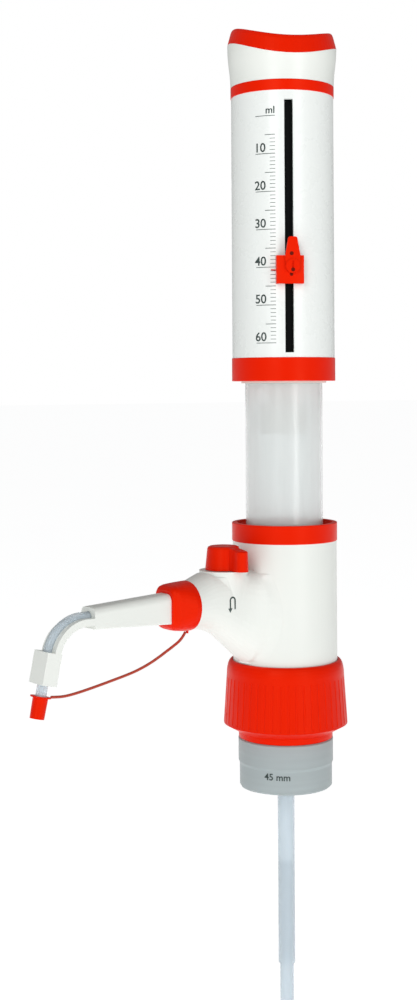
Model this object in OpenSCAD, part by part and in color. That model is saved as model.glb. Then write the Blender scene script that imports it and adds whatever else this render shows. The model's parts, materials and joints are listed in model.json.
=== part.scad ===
// Bottle top dispenser: a valve block with a glass barrel and a side spout, a piston sleeve with a
// volume pointer that slides over it, a union nut, a bottle adapter and a telescopic filling tube.
// Z is up. The origin is the centre of the seat for the bottle rim. The spout points along -X.

/* [Bottle adapter] */
// Nominal outside diameter of the bottle thread
neck_d = 45; // [42:1:48]
// Play round the bottle thread, on the radius
neck_play = 0.15; // [0.05:0.05:0.4]
// Depth of the bore below the rim seat
neck_depth = 18; // [14:1:22]
// Wall round the thread bore at the mouth
adapter_wall = 1.75; // [1.4:0.05:2.5]
// How much wider the shoulder is than the mouth, on the radius
adapter_flare = 0.6; // [0.2:0.1:1.2]
// Height of the shoulder above the rim seat
adapter_deck = 7.7; // [6:0.1:10]
// Thickness of the rim seal
seal_t = 2; // [1:0.5:3]
// Diameter of the passage through the adapter
throat_d = 28; // [27:0.5:30]
// Diameter of the stub that the nut screws on
stub_d = 39.8; // [36:0.2:42]
// Height of the stub above the shoulder
stub_h = 17.5; // [14:0.5:20]
// Thickness of the gasket on the stub
gasket_t = 2; // [1:0.5:3]

/* [Union nut] */
// Largest diameter of the nut
nut_d = 65.4; // [64:0.2:70]
// Height of the nut
nut_h = 40.5; // [38:0.1:46]
// Diameter of the lip at the foot of the nut
nut_lip_d = 49.6; // [46:0.2:54]
// Height of the lip at the foot
nut_lip_h = 2.9; // [1.5:0.1:4]
// Height at which the foot chamfer reaches the full diameter
nut_foot_h = 7.3; // [5:0.1:10]
// Height of the rounded shoulder at the top
nut_shoulder_h = 7.5; // [5:0.5:10]
// Draft of the ribbed wall, on the radius
nut_draft = 1.7; // [0.2:0.1:1.8]
// Number of grip grooves round the nut
nut_grooves = 48; // [24:1:60]
// Radius of a grip groove
groove_r = 0.8; // [0.6:0.1:1.2]
// Depth of a grip groove
groove_t = 0.3; // [0.2:0.05:0.4]

/* [Valve block] */
// Outside diameter of the housing
housing_d = 55; // [54:0.5:57]
// Wall of the housing
housing_wall = 2.2; // [1.8:0.1:2.8]
// Height of the housing above its flange
housing_h = 81.1; // [79:0.1:86]
// Diameter of the flange that the nut holds
flange_d = 60; // [59:0.2:60.6]
// Thickness of the flange
flange_t = 3; // [2:0.5:4]
// Diameter of the stem of the core
stem_d = 34; // [30:1:38]
// Height of the spout's axis above the flange
arm_rise = 52.1; // [51:0.1:54]
// Height of the barrel floor above the spout's axis
floor_rise = 10.7; // [10:0.1:13]
// Depth of the cup that holds the foot of the barrel
cup_depth = 7; // [5:0.5:9]
// Diameter of the chamber over the intake valve
chamber_d = 10; // [9:0.5:11]
// Diameter of the passages in the core
passage_d = 4; // [3:0.5:4.5]
// Height of the supply passage below the spout's axis
supply_drop = 11.8; // [11:0.1:13]
// Height of the collar
collar_h = 9.6; // [8:0.2:12]
// How far the collar stands out from the housing, on the radius
collar_step = 0.3; // [0.2:0.1:1]
// Wall of the collar
collar_wall = 2.6; // [2.4:0.1:2.8]
// How far the clamp ring stays below the collar's rim
collar_recess = 2.9; // [1:0.1:5]

/* [Side arm] */
// Distance of the arm's end rim from the main axis
rim_x = 64; // [62:0.5:68]
// Diameter of the arm's end rim
rim_d = 24.6; // [23.6:0.2:26]
// Radius of the concave underside of the arm
belly_r = 29; // [26:0.5:32]
// Slope of the underside where it runs into the housing
belly_lean = 41; // [36:1:44]
// Radius of the fillet between arm and housing, seen from above
root_fillet = 40; // [20:1:50]
// Height of the knob platform above the spout's axis
boss_rise = 16.3; // [15.5:0.1:18]
// Diameter of the knob platform
boss_d = 25; // [24.6:0.2:25.8]
// Distance of the recirculation valve from the main axis
plug_x = 41; // [40.5:0.5:42]
// Diameter of the valve plug
plug_d = 12; // [11:0.2:12.6]

/* [Valve knob] */
// Diameter of the knob's hub at its foot
hub_d = 18.8; // [16:0.2:20]
// Height of the knob
knob_h = 12; // [10:0.5:15]
// Reach of the knob's nose from its axis
nose_reach = 18.5; // [14:0.5:20]
// Width of the nose at its tip
nose_w = 7; // [4:0.5:8]
// How far the top drops towards the nose
nose_drop = 1.6; // [0.5:0.1:3]
// Diameter of the spindle in the knob
spindle_d = 9; // [7:0.2:10]

/* [Spout] */
// Length of the coupling
coupling_l = 13.7; // [12:0.1:16]
// Thickness of the leash's ring at the arm's end
anchor_t = 0.8; // [0.5:0.1:1.2]
// Width of the spout arm
spout_w = 12.5; // [11.5:0.1:13]
// Height of the spout arm at the coupling
spout_h0 = 14.8; // [14:0.2:15.6]
// Height of the spout arm at its free end
spout_h1 = 10.2; // [9.6:0.2:12]
// Drop of the spout arm's free end
spout_sag = 0.4; // [0:0.1:1]
// Distance of the arm's free end from the main axis
spout_end_x = 123.2; // [112:0.2:130]
// Outside diameter of the delivery tube
tube_d = 5.4; // [4:0.1:5.6]
// Bore of the delivery tube
tube_bore = 3; // [2:0.1:3.4]
// Straight length of tube between the arm's end and the bend
bend_lead = 4.3; // [1:0.1:6]
// Radius of the bend, at the tube's centre
bend_r = 18.5; // [17:0.5:24]
// Lean of the tip from the vertical
tip_lean = 12; // [5:1:20]
// Length of the guide block round the tip
block_l = 15; // [10:0.5:20]
// Depth of the guide block along the spout
block_t = 7.9; // [7:0.1:10]
// Free tube between the block and the cap
tip_gap = 5.5; // [3:0.5:8]
// Length of tube inside the cap
tip_in_cap = 8; // [5:0.5:10]
// Diameter of the cap
cap_d = 7.2; // [6.8:0.1:9]
// Length of the cap
cap_l = 10.5; // [10:0.5:14]
// Diameter of the cap's flange
cap_flange_d = 10; // [9:0.2:13]
// Diameter of the leash
leash_d = 1.4; // [1.2:0.1:2]

/* [Barrel] */
// Bore of the glass barrel
bore_d = 25.6; // [24:0.1:26]
// Wall of the glass barrel
barrel_wall = 2.5; // [2:0.1:3]
// Height of the barrel above its seal
barrel_h = 156; // [150:1:160]
// Outside diameter of the guard tube
guard_d = 40.8; // [39.6:0.2:41]
// Wall of the guard tube
guard_wall = 1.5; // [1.2:0.1:2]
// Largest volume that can be dispensed, in millilitres
volume_max = 60; // [50:5:60]
// Diameter of the stop flange
stop_d = 44.8; // [44:0.1:45]
// Thickness of the stop flange
stop_t = 4; // [3:0.5:6]
// Height of the stop flange's underside above the end of the glass
stop_rise = 7; // [5:0.5:10]

/* [Piston sleeve] */
// How far the sleeve is drawn up from its lowest place
stroke_rest = 74; // [60:1:80]
// Turn of the scale towards the spout, seen from above
scale_turn = 33; // [0:1:60]
// Outside diameter of the slotted sleeve
sleeve_d = 54; // [53.6:0.1:55]
// Wall of the slotted sleeve
sleeve_wall = 2.5; // [2.3:0.1:2.6]
// Length of the slotted sleeve
sleeve_h = 137; // [134:0.5:150]
// Height of the ring under the sleeve
ring_h = 12.2; // [10:0.2:14]
// How far the ring stands out from the sleeve, on the radius
ring_step = 0.3; // [0.2:0.1:1]
// Height of the guide bush
bush_h = 9.8; // [8:0.2:12]
// Thickness of the guide bush
bush_t = 1.7; // [1.2:0.1:1.9]
// Gap between the bush and the guard tube
bush_gap = 0.3; // [0.3:0.05:0.5]
// Height of the seam band
band_h = 5.6; // [4:0.2:8]
// How far the band stands out from the sleeve, on the radius
band_step = 0.3; // [0.2:0.1:1]
// Width of the slot
slot_w = 4.5; // [4:0.1:6]
// Height of the slot's lower end above the sleeve's foot
slot_foot = 2.4; // [2:0.1:4]
// Length of the slot
slot_l = 129.8; // [128:0.2:131]
// Height of the scale's zero above the sleeve's foot
zero_rise = 123.9; // [123:0.1:126]
// Diameter of the piston rod
rod_d = 16; // [12:0.5:18]
// Length of the piston head
piston_h = 16.5; // [12:0.5:20]

/* [Top cap] */
// Widest diameter of the casing under the cap
casing_d = 57.6; // [56:0.2:62]
// Height over which the casing flares out
flare_h = 20; // [14:1:26]
// Height of the casing's lowest rim, above the band
casing_low = 13.1; // [12.5:0.1:20]
// Thickness of the cap
cap_t = 9.8; // [8:0.2:14]
// Radius of the saddle in the cap's top
saddle_r = 54.5; // [48:0.5:70]
// Shift of the saddle's lowest line to the right of the scale
saddle_shift = 2; // [0:0.5:4]
// How much the cap's side leans in
cap_lean = 2.2; // [1:0.1:4]

/* [Volume pointer] */
// Volume that the pointer is set to, in millilitres
volume_set = 40.8; // [35:0.1:45]
// Width of the pointer block
pointer_w = 14.1; // [12:0.1:16]
// Height of the pointer block
pointer_h = 14.3; // [12:0.1:14.4]
// Thickness of the pointer block
pointer_t = 4.2; // [3:0.1:6]
// Reach of the lock lever's tab from its pivot
tab_reach = 15; // [10:0.5:16]
// Width of the tab at its tip
tab_tip_w = 4.8; // [3:0.2:6]
// Diameter of the lock lever's hub
lock_d = 7.2; // [6:0.1:10]
// Width of the tab at the top of the block
tab_w = 8; // [5:0.2:9]

/* [Filling tube] */
// Outside diameter of the upper filling tube
fill_d = 9; // [8.4:0.1:10]
// Wall of both filling tubes
fill_wall = 0.7; // [0.5:0.05:0.8]
// Depth of the upper filling tube's end below the rim seat
fill_upper_depth = 112; // [100:1:130]
// Depth of the filling tube's tip below the rim seat
fill_depth = 205; // [180:1:240]
// Length of the lower filling tube
fill_lower_l = 145; // [130:1:160]
// Outside diameter of the return tube
return_d = 4; // [3.4:0.1:4]

/* [Hidden] */
$fn = 96;

orange = "orangered";
white = "whitesmoke";
slip = 0.05;      // running clearance of a shaft in its bore, on the radius
fit = 0.1;        // loose fit of pieces in one body, on the radius
play = 0.3;       // gap between pieces that move past each other
over = 1;         // how far a cut runs past the face it cuts

// levels, from the rim seat up
stub_top = adapter_deck + stub_h;
flange_z = stub_top + gasket_t;
flange_top = flange_z + flange_t;
nut_foot = adapter_deck + play;
nut_top = nut_foot + nut_h;
housing_top = flange_top + housing_h;
arm_z = flange_top + arm_rise;
boss_top = arm_z + boss_rise;
floor_z = arm_z + floor_rise;
core_top = floor_z + cup_depth;
collar_top = housing_top + collar_h;
barrel_seal_t = 1;
barrel_foot = floor_z + barrel_seal_t;
barrel_top = barrel_foot + barrel_h;

// radii of the valve block
bore_r = neck_d / 2 + neck_play;
mouth_r = bore_r + adapter_wall;
housing_r = housing_d / 2;
shell_r = housing_r - housing_wall;
collar_r = housing_r + collar_step;
collar_bore_r = collar_r - collar_wall;
stem_r = stem_d / 2;
plate_h = 5;
plug_r = plug_d / 2;
passage_r = passage_d / 2;
chamber_r = chamber_d / 2;
rim_r = rim_d / 2;
guard_r = guard_d / 2;
guard_bore_r = guard_r - guard_wall;
piston_bore_r = bore_d / 2;
barrel_r = piston_bore_r + barrel_wall;

// intake valve
insert_r = 7;
insert_flange_r = 8;
insert_flange_h = 4.2;
insert_top = flange_top + 17.8;
spigot_r = fill_d / 2 - fill_wall - slip;
spigot_z = 8;
intake_port_r = 2.5;
intake_ball_r = 4;
intake_ball_z = insert_top + sqrt(pow(intake_ball_r, 2) - pow(intake_port_r, 2)) + 0.02;
cage_z = insert_top + 9.5;
cage_h = 2.5;

// return passage
return_x = 9.2;
return_y = 4.6;
return_r = 1.4;
return_socket = 6;

// outlet valve in the arm
core_end_x = rim_x + 2;
core_arm_r = 7.5;
core_flange_t = 5;
outlet_bore_r = 4;
outlet_x = plug_x + plug_r + 1;
outlet_seat_t = 2;
outlet_ball_r = 3;
outlet_ball_x = outlet_x + outlet_seat_t + sqrt(pow(outlet_ball_r, 2) - pow(passage_r, 2)) + 0.02;
nipple_l = 4;
nipple_x = core_end_x - nipple_l;
outlet_travel = 1.5;
spring_wire = 0.4;
spring_r = 2.4;
spring_turns = 5;
spring_mid_r = spring_r - spring_wire;
spring_x0 = outlet_ball_x + sqrt(pow(outlet_ball_r + spring_wire + 0.05, 2) - pow(spring_mid_r, 2));

// recirculation valve
plug_foot = arm_z - 7.8;
core_boss_r = 9.5;
core_boss_foot = plug_foot - 2.3;
elbow_r = passage_r + 2.4;
core_boss_top = boss_top - housing_wall - 0.2;
supply_z = arm_z - supply_drop;
spindle_r = spindle_d / 2;
ring_wire = 0.7;
knob_z = boss_top + play;
knob_socket_h = knob_h - 2.5;
hub_r = hub_d / 2;

// side arm, outside shape along its length
belly_x = rim_x - 1;
belly_z = arm_z - rim_r - belly_r;
lean_x = belly_x - belly_r * sin(belly_lean);
lean_z = belly_z + belly_r * cos(belly_lean);
arm_floor = nut_top + 0.8;
arm_side_r = rim_r;
fillet_x = sqrt(pow(housing_r + root_fillet, 2) - pow(arm_side_r + root_fillet, 2));
fillet_y = arm_side_r + root_fillet;
arm_steps = [16, 19, 21.6, 23, 25, 27, 29, 31, 33.5, 36, 39, 42, 46, 50, 54, 58, 61];
meet_x = fillet_x * housing_r / (housing_r + root_fillet);
boss_edge_x = plug_x + boss_d / 2;
function belly(x) = x >= belly_x ? arm_z - rim_r
    : x < lean_x ? max(arm_floor, lean_z - (lean_x - x) * tan(belly_lean))
    : belly_z + sqrt(pow(belly_r, 2) - pow(belly_x - x, 2));
function crest(x) = x <= boss_edge_x ? boss_top - 0.4
    : boss_top - 0.4 - (boss_top - 0.4 - arm_z - rim_r) * (x - boss_edge_x) / (rim_x - boss_edge_x);
function flank(x) = x >= fillet_x ? arm_side_r
    : x < meet_x ? sqrt(pow(housing_r, 2) - pow(x, 2)) - 0.3
    : fillet_y - sqrt(max(0, pow(root_fillet, 2) - pow(fillet_x - x, 2)));
function squareness(x, most) = 2 + most * min(1, (rim_x - x) / 18);
function arm_section(x, inset) = [x, flank(x) - inset, (crest(x) + belly(x)) / 2,
    (crest(x) - belly(x)) / 2 - inset, squareness(x, 1.1), squareness(x, 0.3)];

// spout
coupling_x = rim_x + anchor_t;
coupling_end_x = coupling_x + coupling_l;
root_t = 3;
root_x = core_end_x;
root_half = 9;
nut_cavity_r = rim_r - 2.1;
tube_r = tube_d / 2;
bend_x = spout_end_x + bend_lead;
bend_angle = 90 - tip_lean;
tip_x = bend_x + bend_r * sin(bend_angle);
tip_z = arm_z - bend_r * (1 - cos(bend_angle));
channel_floor = 0.8;
lap = 0.3;
channel_rim = -0.1;
notch_angles = [18, 33, 48, 61];
cap_top_s = block_l + tip_gap;
tube_end_s = cap_top_s + tip_in_cap;
cap_r = cap_d / 2;
cap_flange_t = 0.6;
cap_flange_r = cap_flange_d / 2;

// leash route in the plane of the spout, distance from the main axis and height
anchor_tab_z = arm_z - rim_r - 0.9;
leash_mid = [[69, -4.8], [77.5, -9.5], [87, -14], [97, -17.3], [108, -19.6], [117, -21.3],
    [125, -22.7], [132, -23.7], [138, -24.1]];

// piston sleeve
down_gap = 0.4;
ring_z = collar_top + down_gap + stroke_rest;
sleeve_z = ring_z + ring_h;
sleeve_top = sleeve_z + sleeve_h;
band_top = sleeve_top + band_h;
sleeve_r = sleeve_d / 2;
sleeve_bore_r = sleeve_r - sleeve_wall;
ring_r = sleeve_r + ring_step;
band_r = sleeve_r + band_step;
bush_bore_r = guard_r + bush_gap;
bush_r = bush_bore_r + bush_t;
bush_drop = 1;
spigot_h = 3.5;
slot_z = sleeve_z + slot_foot;
zero_z = sleeve_z + zero_rise;
piston_gap = 0.5;
piston_z = floor_z + piston_gap + stroke_rest;
piston_top = piston_z + piston_h;
web_z = band_top + 5.9;
web_t = 3;
rod_r = rod_d / 2;
stop_z = barrel_top + stop_rise;
head_skirt = 10;

// slot liner and clamp plate
liner_gap = 1;
liner_t = 0.8;
liner_half = 16;
plate_t = 0.7;
plate_half = 19.5;
wing_half = 17;
wing_r = stop_d / 2 + 0.35;
liner_r = sleeve_bore_r - liner_gap;
plate_r = sleeve_bore_r - 0.15;

// scale
ml = 1000 / (PI * pow(piston_bore_r, 2));
index_z = zero_z - volume_set * ml;
pointer_back_r = sleeve_r + play;
pointer_front_r = pointer_back_r + pointer_t;
neck_w = slot_w - 0.4;
lock_x = 1.1;
lock_z = index_z + 1.6;
lock_shank_r = 0.85;
neck_foot = index_z - 4.3;
neck_h = 11;
lever_y = pointer_front_r + slip;
lever_t = 1.8;
tab_t = 1.2;

// top cap
casing_r = casing_d / 2;
casing_wall = 2.4;
rim_low = band_top + casing_low;
function saddle(x) = saddle_r - sqrt(pow(saddle_r, 2) - pow(x - saddle_shift, 2));
cap_rings = [0.25, 0.5, 0.75, 0.9];
cap_sides = 72;

// filling tubes
fill_r = fill_d / 2;
fill_lower_r = fill_r - fill_wall - fit;

module ring(r_out, r_in, z, h) {
    translate([0, 0, z]) difference() {
        cylinder(r = r_out, h = h);
        translate([0, 0, -over]) cylinder(r = r_in, h = h + 2 * over);
    }
}

// a ring with its outer edges broken
module soft_ring(r_out, r_in, z, h, edge) {
    rotate_extrude() polygon([[r_in, z], [r_out - edge, z], [r_out - edge * 0.3, z + edge * 0.3],
        [r_out, z + edge], [r_out, z + h - edge], [r_out - edge * 0.3, z + h - edge * 0.3],
        [r_out - edge, z + h], [r_in, z + h]]);
}

module along_arm(x, z) { translate([-x, 0, z]) rotate([0, -90, 0]) children(); }

module at_tip(s) {
    translate([-tip_x, 0, tip_z]) rotate([0, 180 + tip_lean, 0]) translate([0, 0, s]) children();
}

module face_scale() { rotate([0, 0, -scale_turn]) children(); }

// closed skin over rings of points, each with the same number of points
module skin(rings) {
    n = len(rings[0]);
    m = len(rings);
    flat = [for (r = rings) for (p = r) p];
    sides = [for (i = [0 : m - 2]) for (j = [0 : n - 1])
        [i * n + j, i * n + (j + 1) % n, (i + 1) * n + (j + 1) % n, (i + 1) * n + j]];
    first = [[for (j = [n - 1 : -1 : 0]) j]];
    last = [[for (j = [0 : n - 1]) (m - 1) * n + j]];
    polyhedron(points = flat, faces = concat(sides, first, last), convexity = 6);
}

function sgn_pow(v, e) = sign(v) * pow(abs(v), e);
function loop_yz(s, n = 40) = [for (i = [0 : n - 1]) let (a = 360 * i / n,
    e = 2 / (a > 180 && len(s) > 5 ? s[5] : s[4]))
    [-s[0], s[1] * sgn_pow(cos(a), e), s[2] + s[3] * sgn_pow(sin(a), e)]];
function unit(v) = v / norm(v);
function ends(p, i) = i == 0 ? p[1] - p[0]
    : i == len(p) - 1 ? p[i] - p[i - 1] : p[i + 1] - p[i - 1];
// a point put halfway between each two, on a smooth curve through them
function between(p, i) = (9 * (p[i] + p[i + 1]) - p[max(0, i - 1)] - p[min(len(p) - 1, i + 2)]) / 16;
function smooth(p) = [for (i = [0 : len(p) - 1])
    for (q = i < len(p) - 1 ? [p[i], between(p, i)] : [p[i]]) q];
function hoops(p, r, n, up) = [for (i = [0 : len(p) - 1]) let (t = unit(ends(p, i)),
    u = unit(cross(t, up)), v = cross(t, u)) [for (j = [0 : n - 1]) let (a = 360 * j / n)
    p[i] + r * (cos(a) * u + sin(a) * v)]];

// ---- bottle adapter ----
module bottle_adapter() {
    color("darkseagreen") difference() {
        rotate_extrude() polygon([[throat_d / 2, seal_t], [bore_r, seal_t], [bore_r, -neck_depth],
            [mouth_r - 1, -neck_depth], [mouth_r, -neck_depth + 1], [mouth_r, -neck_depth + 12],
            [mouth_r + adapter_flare, -neck_depth + 13.5], [mouth_r + adapter_flare, adapter_deck - 0.6],
            [mouth_r + adapter_flare - 0.6, adapter_deck],
            [stub_d / 2, adapter_deck], [stub_d / 2, stub_top], [throat_d / 2, stub_top]]);
    }
}

module rim_seal() { color("gainsboro") ring(bore_r - fit, throat_d / 2 + 1, 0, seal_t); }

module stub_gasket() { color("gainsboro") ring(stub_d / 2 - fit, throat_d / 2 + 0.2, stub_top, gasket_t); }

// ---- union nut ----
module union_nut() {
    nut_r = nut_d / 2;
    nut_bore_r = stub_d / 2 + play;
    pocket_r = flange_d / 2 + play;
    mouth = housing_r + 0.4;
    top_r = mouth + 0.6;
    body_top = nut_top - nut_shoulder_h;
    ribbed_h = body_top - nut_foot - nut_foot_h;
    nut_tilt = atan(nut_draft / ribbed_h);
    shoulder = [for (a = [0 : 15 : 90]) [top_r + (nut_r - nut_draft - top_r) * cos(a),
        body_top + nut_shoulder_h * sin(a)]];
    color(orange) difference() {
        rotate_extrude() polygon(concat(
            [[nut_bore_r, nut_foot], [nut_lip_d / 2, nut_foot],
             [nut_lip_d / 2, nut_foot + nut_lip_h], [nut_r, nut_foot + nut_foot_h]],
            shoulder,
            [[mouth, nut_top], [mouth, flange_top + play], [pocket_r, flange_top + play],
             [pocket_r, flange_z - play], [nut_bore_r, flange_z - play]]));
        for (i = [0 : nut_grooves - 1]) rotate([0, 0, 360 * i / nut_grooves])
            translate([nut_r + groove_r - groove_t, 0, nut_foot + nut_foot_h]) rotate([0, -nut_tilt, 0])
                translate([0, 0, 1]) cylinder(r = groove_r, h = ribbed_h - 2, $fn = 24);
    }
}

// ---- valve block ----
module valve_core() {
    color("ivory") difference() {
        union() {
            translate([0, 0, flange_z]) cylinder(r = flange_d / 2, h = flange_t);
            translate([0, 0, flange_z]) cylinder(r = shell_r - fit, h = flange_t + plate_h);
            translate([0, 0, flange_z]) cylinder(r = stem_r, h = core_top - flange_z);
            translate([0, 0, floor_z - 6]) cylinder(r = shell_r - 1.3, h = cup_depth + 6);
            along_arm(0, arm_z) cylinder(r = core_arm_r, h = core_end_x);
            along_arm(core_end_x - core_flange_t, arm_z) cylinder(r = nut_cavity_r - fit, h = core_flange_t);
            along_arm(0, supply_z) cylinder(r = elbow_r, h = plug_x);
            translate([-plug_x, 0, supply_z]) sphere(r = elbow_r);
            translate([-plug_x, 0, supply_z]) cylinder(r = elbow_r, h = plug_foot - supply_z);
            translate([-plug_x, 0, core_boss_foot])
                cylinder(r = core_boss_r, h = core_boss_top - core_boss_foot);
        }
        translate([0, 0, flange_z - over]) cylinder(r = insert_r + slip, h = insert_top - flange_z + over);
        translate([0, 0, insert_top - over]) cylinder(r = chamber_r, h = core_top - insert_top + 2 * over);
        translate([0, 0, floor_z]) cylinder(r = barrel_r + fit, h = cup_depth + over);
        along_arm(0, supply_z) cylinder(r = passage_r, h = plug_x, $fn = 48);
        translate([-plug_x, 0, supply_z]) cylinder(r = passage_r, h = plug_foot - supply_z, $fn = 48);
        translate([-plug_x, 0, plug_foot - play])
            cylinder(r = plug_r + slip, h = core_boss_top - plug_foot + over);
        along_arm(plug_x, arm_z) cylinder(r = passage_r, h = outlet_x - plug_x + over, $fn = 48);
        along_arm(outlet_x, arm_z) cylinder(r = outlet_bore_r, h = core_end_x - outlet_x + over, $fn = 64);
        translate([-return_x, return_y, flange_z - over])
            cylinder(r = return_r, h = arm_z - flange_z + over, $fn = 32);
        translate([-return_x, return_y, flange_z - over])
            cylinder(r = return_d / 2 + slip, h = return_socket + over, $fn = 32);
        translate([-return_x, return_y, arm_z]) rotate([0, 0, atan2(return_y, plug_x - return_x)])
            rotate([0, -90, 0]) cylinder(r = return_r, h = plug_x - return_x - 2, $fn = 32);
    }
}

module arm_body(inset, x0, x1) {
    xs = concat([for (x = arm_steps) if (x > x0 && x < x1 - 0.5) x], [x1]);
    skin([for (x = concat([x0], xs)) loop_yz(arm_section(x, inset))]);
}

module shell_body() {
    difference() {
        union() {
            translate([0, 0, flange_top]) cylinder(r = housing_r, h = housing_h);
            arm_body(0, 14, rim_x);
            translate([-plug_x, 0, arm_z]) cylinder(r = boss_d / 2, h = boss_rise);
        }
        translate([0, 0, flange_top - over]) cylinder(r = shell_r, h = housing_h + 2 * over);
        difference() {
            arm_body(housing_wall, 15, rim_x + over);
            translate([-plug_x, 0, boss_top - housing_wall]) cylinder(r = boss_d / 2, h = over * 3);
        }
        translate([-plug_x, 0, core_boss_foot - 0.1])
            cylinder(r = core_boss_r + 0.3, h = core_boss_top - core_boss_foot + 0.2);
        along_arm(plug_x, arm_z) cylinder(r = nut_cavity_r, h = rim_x - plug_x + over);
        translate([-plug_x, 0, arm_z]) cylinder(r = plug_r + 0.4, h = boss_rise + over);
    }
}

// everything on the spout's side of the housing's seam
module spout_half() {
    translate([-2 * rim_x, -housing_d, 0]) cube([2 * rim_x, 2 * housing_d, 2 * collar_top]);
}

module housing_front() {
    color(white) intersection() {
        shell_body();
        spout_half();
    }
}

module housing_rear() {
    color(white) difference() {
        ring(housing_r, shell_r, flange_top, housing_h);
        spout_half();
    }
}

module housing_collar() { color(orange) soft_ring(collar_r, collar_bore_r, housing_top, collar_h, 0.3); }

module clamp_ring() {
    clamp_r = min(shell_r, collar_bore_r) - play;
    color(white) ring(clamp_r, guard_r + 0.2, core_top, collar_top - collar_recess - core_top);
}

module glass_barrel() { color("lightblue", 0.5) ring(barrel_r, piston_bore_r, barrel_foot, barrel_h); }

module barrel_seal() { color("gainsboro") ring(barrel_r, piston_bore_r + fit, floor_z, barrel_seal_t); }

module guard_tube() { color("lightgray", 0.5) ring(guard_r, guard_bore_r, core_top, stop_z - core_top); }

module barrel_head() {
    color("white") rotate_extrude() polygon([[rod_r + fit, barrel_top], [barrel_r + fit, barrel_top],
        [barrel_r + fit, barrel_top - head_skirt], [guard_bore_r - fit, barrel_top - head_skirt],
        [guard_bore_r - fit, stop_z], [stop_d / 2, stop_z], [stop_d / 2, stop_z + stop_t],
        [rod_r + fit, stop_z + stop_t]]);
}

// ---- intake valve and tubes ----
module intake_insert() {
    color("ivory") difference() {
        union() {
            translate([0, 0, flange_z - insert_flange_h]) cylinder(r = insert_flange_r, h = insert_flange_h);
            translate([0, 0, flange_z - over]) cylinder(r = insert_r, h = insert_top - flange_z + over);
            translate([0, 0, spigot_z]) cylinder(r = spigot_r, h = flange_z - spigot_z);
        }
        translate([0, 0, spigot_z - over]) cylinder(r = intake_port_r, h = insert_top - spigot_z + 2 * over);
    }
}

module intake_cage() { color("ivory") ring(chamber_r - slip, intake_port_r + 0.1, cage_z, cage_h); }

module intake_ball() { color("white") translate([0, 0, intake_ball_z]) sphere(r = intake_ball_r); }

module filling_tube_upper() {
    top = flange_z - insert_flange_h;
    color("azure", 0.6) ring(fill_r, fill_r - fill_wall, -fill_upper_depth, fill_upper_depth + top);
}

module filling_tube_lower() {
    color("azure", 0.6) difference() {
        ring(fill_lower_r, fill_lower_r - fill_wall, -fill_depth, fill_lower_l);
        translate([0, 0, -fill_depth]) rotate([0, 30, 0])
            translate([-20, -10, -10 - fill_lower_r * sin(30)]) cube([40, 20, 10]);
    }
}

module return_tube() {
    foot = adapter_deck - 2;
    color("azure", 0.6) translate([-return_x, return_y, 0])
        ring(return_d / 2, return_d / 2 - fill_wall, foot, flange_z + return_socket - foot);
}

// ---- outlet valve ----
module outlet_seat() {
    color("ivory") along_arm(outlet_x, arm_z) ring(outlet_bore_r - slip, passage_r, 0, outlet_seat_t);
}

module outlet_ball() { color("white") translate([-outlet_ball_x, 0, arm_z]) sphere(r = outlet_ball_r); }

module outlet_spring() {
    turn_n = 14;
    l = nipple_x - spring_wire - spring_x0;
    route = [for (i = [0 : spring_turns * turn_n]) let (a = 360 * i / turn_n)
        [-spring_x0 - l * i / (spring_turns * turn_n),
         spring_mid_r * cos(a), arm_z + spring_mid_r * sin(a)]];
    color("silver") skin(hoops(route, spring_wire, 8, [1, 0, 0]));
}

module tube_nipple() {
    color("ivory") along_arm(nipple_x, arm_z) ring(outlet_bore_r - slip, tube_r + slip, 0, nipple_l);
}

// ---- recirculation valve ----
module valve_plug() {
    groove_z = core_boss_top - 4;
    color("white") translate([-plug_x, 0, 0]) difference() {
        union() {
            translate([0, 0, plug_foot]) cylinder(r = plug_r, h = core_boss_top - plug_foot);
            translate([0, 0, core_boss_top - over])
                cylinder(r = spindle_r, h = knob_z + knob_socket_h - core_boss_top + over);
        }
        translate([0, 0, plug_foot - over]) cylinder(r = passage_r, h = arm_z - plug_foot + over, $fn = 48);
        translate([0, 0, arm_z]) rotate([0, 90, 0]) cylinder(r = passage_r, h = plug_r + over, $fn = 48);
        translate([0, 0, arm_z]) sphere(r = passage_r, $fn = 48);
        ring(plug_r + over, plug_r - 2 * ring_wire - 0.1, groove_z - ring_wire, 2 * ring_wire);
    }
}

module plug_ring() {
    groove_z = core_boss_top - 4;
    color("dimgray") translate([-plug_x, 0, groove_z]) rotate_extrude()
        translate([plug_r - ring_wire, 0]) circle(r = ring_wire, $fn = 24);
}

module valve_knob() {
    head_r = hub_r - 1.3;
    tip_r = nose_w / 2;
    waist_r = tip_r - 0.7;
    nose_h = knob_h - nose_drop;
    color(orange) translate([-plug_x, 0, knob_z]) difference() {
        union() {
            rotate_extrude() polygon([[0, 0], [hub_r, 0], [head_r + 0.2, knob_h - 1.4],
                [head_r - 0.2, knob_h - 0.5], [head_r - 1.2, knob_h], [0, knob_h]]);
            hull() {
                cylinder(r1 = waist_r + 1, r2 = waist_r + 0.6, h = knob_h - 0.2, $fn = 32);
                translate([0, -hub_r - 1, 0])
                    cylinder(r1 = waist_r, r2 = waist_r - 0.4, h = nose_h + 0.8, $fn = 32);
            }
            hull() {
                translate([0, -hub_r - 1, 0])
                    cylinder(r1 = waist_r, r2 = waist_r - 0.4, h = nose_h + 0.8, $fn = 32);
                translate([0, -nose_reach + tip_r, 0])
                    cylinder(r1 = tip_r, r2 = tip_r - 0.3, h = nose_h - 0.6, $fn = 32);
                translate([0, -nose_reach + tip_r, 0])
                    cylinder(r = tip_r - 1, h = nose_h, $fn = 32);
            }
        }
        translate([0, 0, -over]) cylinder(r = spindle_r + slip, h = knob_socket_h + over);
    }
}

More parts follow.
